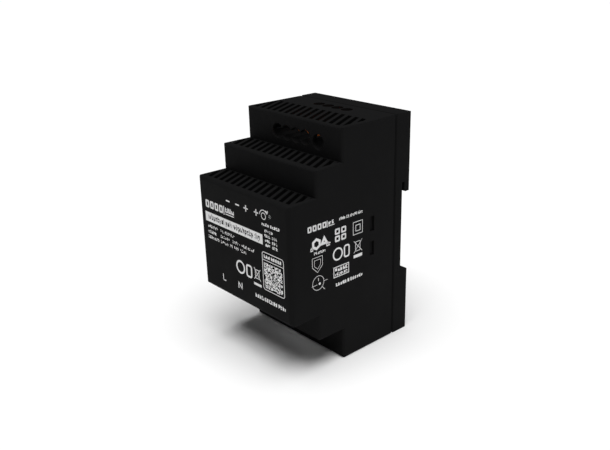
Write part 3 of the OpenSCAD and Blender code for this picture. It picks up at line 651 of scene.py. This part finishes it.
@dataclass
class InkSheet:
    """Print on one face of the case, drawn from the face's upper left corner.

    u runs to the right and v down, in millimetres, as on a drawing of the face.

    Attributes:
        name: the piece's name.
        corner: the upper left corner of the face, in metres.
        across: the direction of u.
        outward: the face's outward normal.
        seed: seed of its greeked marks.
        thick: thickness of the ink, in metres.
        shapes: the shapes drawn on it so far.
    """

    name: str
    corner: Vector
    across: Vector
    outward: Vector
    seed: int
    thick: float = 0.00003
    shapes: list[Piece] = field(default_factory=list)

    def __post_init__(self) -> None:
        """Seed the sheet's own marks."""
        self.dice = random.Random(self.seed)

    def _keep(self) -> None:
        """Add the active shape to the sheet, raised to the ink's thickness."""
        shape = bpy.context.object
        bpy.ops.mesh.select_all(action="SELECT")
        bpy.ops.mesh.extrude_region_move(
            TRANSFORM_OT_translate={"value": (0.0, 0.0, self.thick)}
        )
        object_mode()
        self.shapes.append(shape)

    def _plane(self, u0: float, u1: float, v0: float, v1: float,
               turn: float = 0.0) -> None:
        """Add a flat rectangle and enter edit mode on it.

        Args:
            u0: left edge.
            u1: right edge.
            v0: upper edge.
            v1: lower edge.
            turn: its turn about its centre, in radians.
        """
        object_mode()
        bpy.ops.mesh.primitive_plane_add(
            size=1.0, location=((u0 + u1) / 2 * MM, -(v0 + v1) / 2 * MM, 0.0)
        )
        bpy.context.object.scale = ((u1 - u0) * MM, (v1 - v0) * MM, 1.0)
        bpy.context.object.rotation_euler = (0.0, 0.0, turn)
        bpy.ops.object.transform_apply(location=False, rotation=False, scale=True)
        edit_all()

    def _disc(self, u: float, v: float, radius: float, sides: int) -> None:
        """Add a filled circle or regular figure and enter edit mode on it.

        Args:
            u: centre.
            v: centre.
            radius: its radius.
            sides: how many sides it has.
        """
        object_mode()
        bpy.ops.mesh.primitive_circle_add(
            vertices=sides, radius=radius * MM, fill_type="NGON",
            location=(u * MM, -v * MM, 0.0),
        )
        edit_all()

    def _hollow(self, line: float) -> None:
        """Cut the middle out of the active figure and leave an outline of this width."""
        bpy.ops.mesh.inset(thickness=line * MM)
        bpy.ops.mesh.delete(type="FACE")

    def bar(self, u0: float, u1: float, v0: float, v1: float) -> None:
        """A filled bar.

        Args:
            u0: left edge.
            u1: right edge.
            v0: upper edge.
            v1: lower edge.
        """
        self._plane(u0, u1, v0, v1)
        self._keep()

    def stroke(self, start: Point, end: Point, wide: float) -> None:
        """A straight stroke with rounded ends.

        Args:
            start: where it starts.
            end: where it ends.
            wide: its width.
        """
        (u0, v0), (u1, v1) = start, end
        length = math.hypot(u1 - u0, v1 - v0) + wide * 0.5
        middle = ((u0 + u1) / 2, (v0 + v1) / 2)
        self._plane(
            middle[0] - length / 2, middle[0] + length / 2,
            middle[1] - wide / 2, middle[1] + wide / 2,
            turn=-math.atan2(v1 - v0, u1 - u0),
        )
        bpy.ops.mesh.bevel(
            offset=wide * 0.3 * MM, segments=3, affect="VERTICES", clamp_overlap=True
        )
        self._keep()

    def frame(self, u0: float, u1: float, v0: float, v1: float, line: float,
              round_mm: float = 0.0) -> None:
        """The outline of a rectangle.

        Args:
            u0: left edge.
            u1: right edge.
            v0: upper edge.
            v1: lower edge.
            line: the outline's width.
            round_mm: radius of the corners.
        """
        self._plane(u0, u1, v0, v1)
        if round_mm:
            bpy.ops.mesh.bevel(offset=round_mm * MM, segments=4, affect="VERTICES")
            bpy.ops.mesh.select_all(action="SELECT")
        self._hollow(line)
        self._keep()

    def ring(self, u: float, v: float, radius: float, line: float,
             sides: int = 48) -> None:
        """The outline of a circle or a regular figure.

        Args:
            u: centre.
            v: centre.
            radius: outer radius.
            line: the outline's width, or the radius for a filled one.
            sides: how many sides it has.
        """
        self._disc(u, v, radius, sides)
        if line < radius:
            self._hollow(line)
        self._keep()

    def arc(self, u: float, v: float, radius: float, line: float,
            low: float, high: float) -> None:
        """Part of a ring, from one angle to another, anticlockwise from the right.

        Args:
            u: centre.
            v: centre.
            radius: outer radius.
            line: the ring's width.
            low: start angle in degrees.
            high: end angle in degrees.
        """
        self._disc(u, v, radius, 48)
        self._hollow(line)
        bpy.ops.mesh.select_all(action="SELECT")

        def outside(face: bmesh.types.BMFace) -> bool:
            """Whether a face of the ring lies outside the arc.

            Args:
                face: the face.

            Returns:
                True for a face to delete.
            """
            place = face.calc_center_median()
            angle = math.degrees(math.atan2(place.y, place.x)) % 360
            return not low <= angle <= high

        select_faces(bpy.context.object, outside)
        bpy.ops.mesh.delete(type="FACE")
        self._keep()

    def mosaic(self, u0: float, u1: float, v0: float, v1: float, cells: tuple[int, int],
               keep: CellTest) -> None:
        """A grid of cells of which only some are printed.

        Args:
            u0: left edge.
            u1: right edge.
            v0: upper edge.
            v1: lower edge.
            cells: columns and rows.
            keep: a function of column and row that says whether a cell is printed.
        """
        object_mode()
        bpy.ops.mesh.primitive_grid_add(
            x_subdivisions=cells[0], y_subdivisions=cells[1], size=1.0,
            location=((u0 + u1) / 2 * MM, -(v0 + v1) / 2 * MM, 0.0),
        )
        grid = bpy.context.object
        edit_all()
        printed: dict[tuple[int, int], bool] = {}

        def blank(face: bmesh.types.BMFace) -> bool:
            """Whether a cell is left unprinted.

            Args:
                face: the cell's face.

            Returns:
                True for a cell to delete.
            """
            place = face.calc_center_median()
            column = min(cells[0] - 1, int((place.x + 0.5) * cells[0]))
            row = min(cells[1] - 1, int((0.5 - place.y) * cells[1]))
            if (column, row) not in printed:
                printed[(column, row)] = keep(column, row)
            return not printed[(column, row)]

        if select_faces(grid, blank):
            bpy.ops.mesh.delete(type="FACE")
        object_mode()
        grid.scale = ((u1 - u0) * MM, (v1 - v0) * MM, 1.0)
        pick(grid)
        bpy.ops.object.transform_apply(location=False, rotation=False, scale=True)
        edit_all()
        self._keep()

    def word(self, u0: float, u1: float, v0: float, v1: float, bold: float = 0.62,
             pitch: float = 0.34) -> None:
        """A greeked word: a strip of strokes that reads as text but says nothing.

        Args:
            u0: left end.
            u1: right end.
            v0: upper edge.
            v1: lower edge.
            bold: how much of it is inked.
            pitch: width of one stroke.
        """
        columns = max(2, round((u1 - u0) / pitch))
        dice = self.dice
        tall = [dice.random() < 0.7 for _ in range(columns)]

        def keep(column: int, row: int) -> bool:
            """Whether one cell of the word is inked.

            Args:
                column: the cell's column, every third of which is a gap.
                row: the cell's row, of which the first holds the tall strokes.

            Returns:
                True for an inked cell.
            """
            if column % 3 == 2:
                return row in (1, 3) and dice.random() < 0.4
            if not tall[column] and row == 0:
                return False
            return dice.random() < bold + (0.25 if column % 3 == 0 else 0.0)

        self.mosaic(u0, u1, v0, v1, (columns, 4), keep)

    def line(self, spans: list[Point], v0: float, v1: float, bold: float = 0.62,
             pitch: float = 0.34) -> None:
        """A line of greeked words.

        Args:
            spans: where each word starts and ends.
            v0: upper edge.
            v1: lower edge.
            bold: how much of it is inked.
            pitch: width of one stroke.
        """
        for u0, u1 in spans:
            self.word(u0, u1, v0, v1, bold, pitch)

    def finish(self, paint: Paintbox) -> Piece:
        """Join the sheet, lay it on its face and dress it.

        Args:
            paint: the finishes.

        Returns:
            The printed piece.
        """
        piece = join(self.shapes, self.name)
        up = self.outward.cross(self.across)
        lay = Matrix(
            [[self.across[i], up[i], self.outward[i]] for i in range(3)]
        ).to_4x4()
        origin = self.corner - self.outward * (self.thick * SUNK_SHARE)
        piece.data.transform(Matrix.Translation(origin) @ lay)
        outward(piece)
        paint.dress(piece, INK.slot)
        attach(piece, CASE_BODY)
        return piece


@dataclass
class CasePrint:
    """All the print on the case, with generic marks where a maker's would be.

    Attributes:
        nose_height: height of the nose face, in metres.
        nose_seed: seed of the greeked marks on the nose.
        side_seed: seed of the greeked marks on the side.
    """

    nose_height: float = 0.045
    nose_seed: int = 11
    side_seed: int = 23

    def build(self, paint: Paintbox) -> list[Piece]:
        """Print the nose and the right side.

        Args:
            paint: the finishes.

        Returns:
            The printed pieces.
        """
        low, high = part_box("front_housing")
        middle = (low.z + high.z) / 2
        nose = InkSheet(
            "nose_print", Vector((low.x, low.y, middle + self.nose_height / 2)),
            Vector((1, 0, 0)), Vector((0, -1, 0)), seed=self.nose_seed,
        )
        side = InkSheet(
            "side_print", Vector((high.x, low.y, high.z)), Vector((0, 1, 0)),
            Vector((1, 0, 0)), seed=self.side_seed,
        )
        self._terminal_marks(nose)
        self._heading(nose)
        self._ratings(nose)
        self._panel(nose)
        self._approvals(nose)
        self._side_marks(side)
        return [nose.finish(paint), side.finish(paint)]

    def _terminal_marks(self, ink: InkSheet) -> None:
        """Signs over the output screws, the trimmer's turn mark and L and N.

        Args:
            ink: the nose's sheet.
        """
        for u in (18.5, 24.2):
            ink.stroke((u - 1.0, 6.0), (u + 1.0, 6.0), 0.52)
        for u in (29.2, 35.1):
            ink.stroke((u - 1.1, 6.1), (u + 1.1, 6.1), 0.5)
            ink.stroke((u, 5.0), (u, 7.2), 0.5)
        ink.ring(39.2, 6.4, 1.3, 0.26, 28)
        ink.arc(39.2, 6.4, 2.3, 0.27, 30, 170)
        ink.stroke((40.5, 4.2), (41.5, 5.0), 0.42)
        ink.stroke((41.5, 4.0), (41.5, 5.0), 0.42)
        ink.stroke((12.4, 36.9), (12.4, 39.5), 0.42)
        ink.stroke((12.4, 39.4), (13.9, 39.4), 0.42)
        ink.stroke((22.1, 36.9), (22.1, 39.5), 0.42)
        ink.stroke((24.2, 36.9), (24.2, 39.5), 0.42)
        ink.stroke((22.1, 37.0), (24.2, 39.4), 0.42)

    def _heading(self, ink: InkSheet) -> None:
        """A plain mark in place of the maker's, and the title bar under it.

        Args:
            ink: the nose's sheet.
        """
        for start in (4.0, 6.9, 9.8, 12.7):
            ink.frame(start, start + 2.3, 8.7, 11.7, 0.75, 0.5)
        ink.bar(15.4, 15.9, 8.5, 12.0)
        ink.line([(16.5, 18.2), (18.5, 20.0), (20.3, 21.8)], 8.9, 10.8, 0.75, 0.42)
        ink.bar(16.5, 21.7, 11.3, 11.65)
        dice = ink.dice
        words = ((6, 14), (16, 36), (40, 50), (54, 90), (94, 102))

        def keep(column: int, row: int) -> bool:
            """Whether a cell of the title bar is white.

            Args:
                column: the cell's column.
                row: the cell's row.

            Returns:
                True for a white cell.
            """
            if not any(a <= column <= b for a, b in words) or column % 4 == 3:
                return True
            if row in (1, 5):
                return column % 4 != 0 or (column // 4) % 3 != row // 4
            return row not in (2, 3, 4) or dice.random() > (0.95, 0.55, 0.8)[column % 4]

        ink.mosaic(3.4, 38.1, 13.5, 17.3, (108, 7), keep)

    def _ratings(self, ink: InkSheet) -> None:
        """Greeked rating lines under the title and the small table beside it.

        Args:
            ink: the nose's sheet.
        """
        for v, name, spans in (
            (18.6, [(4.7, 7.3), (8.0, 10.7)], [(12.6, 14.8), (15.3, 18.7), (19.0, 21.2)]),
            (20.8, [(4.5, 9.6)], [(12.5, 18.0), (20.0, 24.3), (25.5, 28.7), (29.2, 32.8)]),
            (23.0, [(4.4, 11.3)], [(12.4, 16.9), (18.0, 19.6), (20.8, 23.5), (24.6, 27.9)]),
        ):
            ink.line(name, v, v + 1.2, 0.55)
            ink.line(spans, v, v + 1.2, 0.34)
        ink.line([(38.0, 42.2), (42.7, 47.8)], 8.8, 9.9, 0.75)
        for v, spans in (
            (11.1, [(39.4, 40.8), (41.2, 43.9)]),
            (12.9, [(39.3, 42.4), (43.4, 46.0)]),
            (14.7, [(39.5, 42.5), (43.4, 46.0)]),
            (16.4, [(39.6, 42.1), (43.3, 46.2)]),
        ):
            ink.line(spans[:1], v, v + 1.05, 0.6)
            ink.line(spans[1:], v, v + 1.05, 0.42)

    def _panel(self, ink: InkSheet) -> None:
        """The framed panel with a heading and a random, unreadable matrix.

        Args:
            ink: the nose's sheet.
        """
        ink.frame(37.3, 49.2, 19.8, 34.7, 0.28, 1.1)
        ink.bar(37.5, 49.0, 22.8, 23.04)
        ink.line([(38.3, 41.6), (42.3, 47.8)], 20.9, 22.1, 0.78, 0.4)
        dice = ink.dice
        ink.mosaic(38.2, 48.2, 23.9, 33.8, (25, 25),
                   lambda column, row: dice.random() < 0.52)

    def _approvals(self, ink: InkSheet) -> None:
        """Generic outlined figures, a boxed cross and a greeked line.

        Args:
            ink: the nose's sheet.
        """
        ink.ring(24.0, 30.4, 2.7, 0.75, 36)
        ink.frame(27.4, 31.0, 27.8, 33.0, 0.75, 1.2)
        ink.frame(32.7, 35.2, 28.3, 31.9, 0.3, 0.3)
        ink.stroke((32.2, 27.9), (35.8, 32.3), 0.28)
        ink.stroke((35.8, 27.9), (32.2, 32.3), 0.28)
        ink.bar(31.8, 36.2, 33.7, 34.7)
        ink.line([(32.3, 37.4), (37.9, 39.7), (40.2, 44.6), (45.4, 49.3)], 38.0, 39.5,
                 0.8, 0.4)

    def _side_marks(self, ink: InkSheet) -> None:
        """Four rows of plain marks on the side.

        Args:
            ink: the side's sheet.
        """
        for start in (8.3, 10.6, 12.9, 15.2):
            ink.frame(start, start + 1.8, 31.8, 34.0, 0.55, 0.35)
        ink.bar(17.2, 17.55, 31.7, 34.2)
        ink.line([(18.0, 19.3), (19.7, 20.9)], 32.0, 33.4, 0.75, 0.4)
        ink.bar(18.0, 20.9, 33.7, 34.0)
        ink.line([(23.3, 26.0), (26.5, 28.2), (28.8, 32.2), (32.8, 35.0)], 32.1, 33.2)
        ink.ring(12.2, 39.0, 2.3, 0.95, 6)
        ink.ring(15.9, 39.0, 2.3, 0.95, 3)
        ink.line([(9.4, 10.6)], 39.7, 41.2, 0.6)
        ink.line([(16.9, 18.9)], 39.7, 41.2, 0.6)
        ink.line([(11.0, 16.4)], 41.9, 42.9, 0.5)
        for u in (21.1, 24.2):
            for v in (35.9, 38.7):
                ink.frame(u, u + 2.4, v, v + 2.3, 0.62, 0.4)
        ink.frame(30.1, 35.1, 35.9, 40.9, 0.22)
        ink.frame(31.4, 33.9, 37.2, 39.7, 0.24)
        self._shield(ink)
        ink.ring(22.4, 45.8, 2.5, 0.62, 36)
        ink.frame(25.4, 28.4, 43.3, 48.3, 0.62, 1.1)
        ink.frame(31.3, 33.9, 43.7, 47.6, 0.22, 0.3)
        ink.stroke((30.6, 43.4), (34.8, 48.0), 0.2)
        ink.stroke((34.8, 43.4), (30.6, 48.0), 0.2)
        ink.bar(30.4, 34.9, 48.9, 50.1)
        ink.ring(12.7, 54.0, 2.8, 0.17, 36)
        ink.ring(13.4, 54.5, 0.5, 0.5, 16)
        ink.stroke((9.6, 54.6), (12.2, 54.6), 0.15)
        ink.stroke((15.4, 54.0), (17.2, 54.0), 0.16)
        ink.stroke((14.4, 55.8), (15.8, 57.4), 0.2)
        ink.stroke((12.8, 52.2), (12.8, 53.2), 0.24)
        ink.frame(20.2, 28.0, 50.6, 54.8, 0.32)
        ink.line([(21.0, 27.2)], 51.2, 52.6, 0.7, 0.45)
        ink.line([(21.0, 27.2)], 53.1, 54.2, 0.6, 0.3)
        ink.line([(21.3, 26.7), (27.2, 28.1), (28.7, 31.6), (32.1, 35.4)], 57.1, 58.4,
                 0.8, 0.38)

    def _shield(self, ink: InkSheet) -> None:
        """A plain shield outline with a smaller one inside.

        Args:
            ink: the side's sheet.
        """
        for grow, wide in ((1.0, 0.16), (0.6, 0.13)):
            middle, top = 12.5, 46.6 - 2.6 * grow
            left, right = middle - 2.4 * grow, middle + 2.4 * grow
            shoulder, tip = 46.6 + 0.9 * grow, 46.6 + 3.3 * grow
            corners = [(left, top), (right, top), (right, shoulder), (middle, tip),
                       (left, shoulder), (left, top)]
            for start, end in zip(corners, corners[1:]):
                ink.stroke(start, end, wide)


# ---------------------------------------------------------------- latch spring


@dataclass
class LatchSpring:
    """The coil spring that pushes the rail latch up.

    Attributes:
        turns: how many turns it has.
        wire: its wire's diameter, in metres.
        sides: how many sides the wire's section has.
        steps: how many steps make one turn.
        finish: the finish's slot name.
    """

    turns: int = 8
    wire: float = 0.0004
    sides: int = 10
    steps: int = 28
    finish: str = "steel"

    def build(self, frame: dict, paint: Paintbox) -> Piece:
        """Screw a round section up into a coil with closed ends.

        Args:
            paint: the finishes.

        Returns:
            The spring.
        """
        low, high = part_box("latch_spring")
        radius = (high.x - low.x - self.wire) / 2
        centre = Vector(((low.x + high.x) / 2, (low.y + high.y) / 2, low.z))
        length = high.z - low.z - self.wire
        object_mode()
        bpy.ops.mesh.primitive_circle_add(
            vertices=self.sides, radius=self.wire / 2, rotation=(math.pi / 2, 0, 0),
            location=(radius, 0.0, self.wire / 2),
        )
        coil = bpy.context.object
        apply_all(coil)
        screw = coil.modifiers.new("coil", "SCREW")
        screw.axis = "Z"
        screw.angle = math.tau
        screw.screw_offset = length / self.turns
        screw.iterations = self.turns
        screw.steps = self.steps
        screw.render_steps = self.steps
        screw.use_merge_vertices = False
        bpy.ops.object.modifier_apply(modifier="coil")
        edit_all()
        bpy.ops.mesh.select_mode(type="EDGE")
        bpy.ops.mesh.select_all(action="DESELECT")
        bpy.ops.mesh.select_non_manifold()
        bpy.ops.mesh.edge_face_add()
        object_mode()
        coil.data.transform(Matrix.Translation(centre))
        coil.name = "latch_spring_coil"
        outward(coil)
        smooth(coil, 50)
        paint.dress(coil, self.finish)
        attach(coil, CASE_BODY)
        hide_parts("latch_spring")
        joints = {j["name"]: j for j in frame["record"]["behaviour"]["joints"]}
        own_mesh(coil)
        return coil


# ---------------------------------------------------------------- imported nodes


class PackedNodes:
    """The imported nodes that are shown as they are, in better finishes."""

    def dress(self, frame: dict, paint: Paintbox) -> int:
        """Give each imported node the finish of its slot.

        Args:
            paint: the finishes.

        Returns:
            How many nodes were dressed.
        """
        slots = {s["node"]: s["material_slot"] for s in frame["record"]["subparts"]}
        for name, obj in frame["nodes"].items():
            paint.dress(obj, slots[name])
        return len(slots)


# ---------------------------------------------------------------- studio


@dataclass(frozen=True)
class SoftLight:
    """A wide, even light from one side.

    Attributes:
        name: its name.
        place: where it stands, which gives the direction it shines from.
        power: its strength.
        spread: how wide it is, in degrees.
    """

    name: str
    place: tuple[float, float, float]
    power: float
    spread: float = 50.0

    def build(self) -> None:
        """Add the light to the scene, aimed at the object."""
        lamp = bpy.data.lights.new(self.name, "SUN")
        lamp.angle = math.radians(self.spread)
        lamp.energy = self.power
        holder = bpy.data.objects.new(self.name, lamp)
        bpy.context.scene.collection.objects.link(holder)
        holder.location = self.place
        aim = -Vector(self.place)
        holder.rotation_euler = aim.to_track_quat("-Z", "Y").to_euler()


@dataclass
class Studio:
    """Floor, lights and camera.

    Attributes:
        eye: the camera's place, in metres.
        azimuth: its heading round the object, in degrees.
        elevation: its height over the horizon, in degrees.
        roll: its lean, in degrees.
        lens: its focal length in mm on a sensor of the width below.
        sensor: the sensor's width in mm.
        shift: its sideways shift, as a share of the picture's width.
        floor_size: length of the floor's sides, in metres.
        floor_gap: how far the floor lies below the unit, in metres.
        floor_shade: how pale the floor is.
        fill: strength of the light from all round.
        lights: the soft lights.
    """

    eye: tuple[float, float, float] = (0.19741, -0.19798, 0.10146)
    azimuth: float = 47.143
    elevation: float = 21.152
    roll: float = -0.849
    lens: float = 42.525
    sensor: float = 36.0
    shift: float = -0.0361
    floor_size: float = 6.0
    floor_gap: float = 0.00002
    floor_shade: float = 0.9
    fill: float = 0.06
    lights: tuple[SoftLight, ...] = (
        SoftLight("overhead", (0.14, -0.12, 1.0), 3.45),
        SoftLight("right", (1.0, 0.15, 0.5), 0.16),
    )

    def build(self) -> None:
        """Make the floor, the lights and the camera."""
        self._floor()
        self._surroundings()
        for light in self.lights:
            light.build()
        self._camera()

    def _floor(self) -> None:
        """A pale floor that the unit stands on."""
        low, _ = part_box("front_housing")
        object_mode()
        bpy.ops.mesh.primitive_plane_add(
            size=self.floor_size, location=(0.0, 0.0, low.z - self.floor_gap)
        )
        floor = bpy.context.object
        floor.name = "floor"
        apply_all(floor)
        made = bpy.data.materials.new("floor_pale")
        made.use_nodes = True
        shader = made.node_tree.nodes["Principled BSDF"]
        shader.inputs["Base Color"].default_value = (*(self.floor_shade,) * 3, 1.0)
        shader.inputs["Roughness"].default_value = 0.95
        shader.inputs["Specular IOR Level"].default_value = 0.1
        floor.data.materials.append(made)

    def _surroundings(self) -> None:
        """Weak white light from all round, and a plain view of it."""
        scene = bpy.context.scene
        world = bpy.data.worlds.new("studio")
        world.use_nodes = True
        background = world.node_tree.nodes["Background"]
        background.inputs["Color"].default_value = (1.0, 1.0, 1.0, 1.0)
        background.inputs["Strength"].default_value = self.fill
        scene.world = world
        scene.view_settings.view_transform = "Standard"
        scene.view_settings.look = "None"

    def _camera(self) -> None:
        """A camera at the stated place, heading, height and lean."""
        scene = bpy.context.scene
        lens = bpy.data.cameras.new("camera")
        lens.lens = self.lens
        lens.sensor_width = self.sensor
        lens.sensor_fit = "HORIZONTAL"
        lens.clip_start = 0.01
        lens.clip_end = 20.0
        lens.shift_x = self.shift
        camera = bpy.data.objects.new("camera", lens)
        scene.collection.objects.link(camera)
        a, e, r = (math.radians(v) for v in (self.azimuth, self.elevation, self.roll))
        back = Vector(
            (math.sin(a) * math.cos(e), -math.cos(a) * math.cos(e), math.sin(e))
        )
        right = Vector((math.cos(a), math.sin(a), 0.0))
        up = back.cross(right)
        right, up = (
            right * math.cos(r) + up * math.sin(r),
            up * math.cos(r) - right * math.sin(r),
        )
        turn = Matrix([[right[i], up[i], back[i]] for i in range(3)]).to_4x4()
        camera.matrix_world = Matrix.Translation(Vector(self.eye)) @ turn
        scene.camera = camera


def main() -> None:
    """Load the frame, dress it, add the new pieces and set up the studio."""
    logging.basicConfig(level=logging.INFO, format="%(name)s: %(message)s")
    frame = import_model()
    paint = Paintbox()
    LOG.info("dressed %d packed nodes", PackedNodes().dress(frame, paint))
    for piece in CasePrint().build(paint):
        LOG.info("%s: %d faces", piece.name, len(piece.data.polygons))
    spring = LatchSpring().build(frame, paint)
    LOG.info("%s: %d faces", spring.name, len(spring.data.polygons))
    Studio().build()


if __name__ == "__main__":
    main()
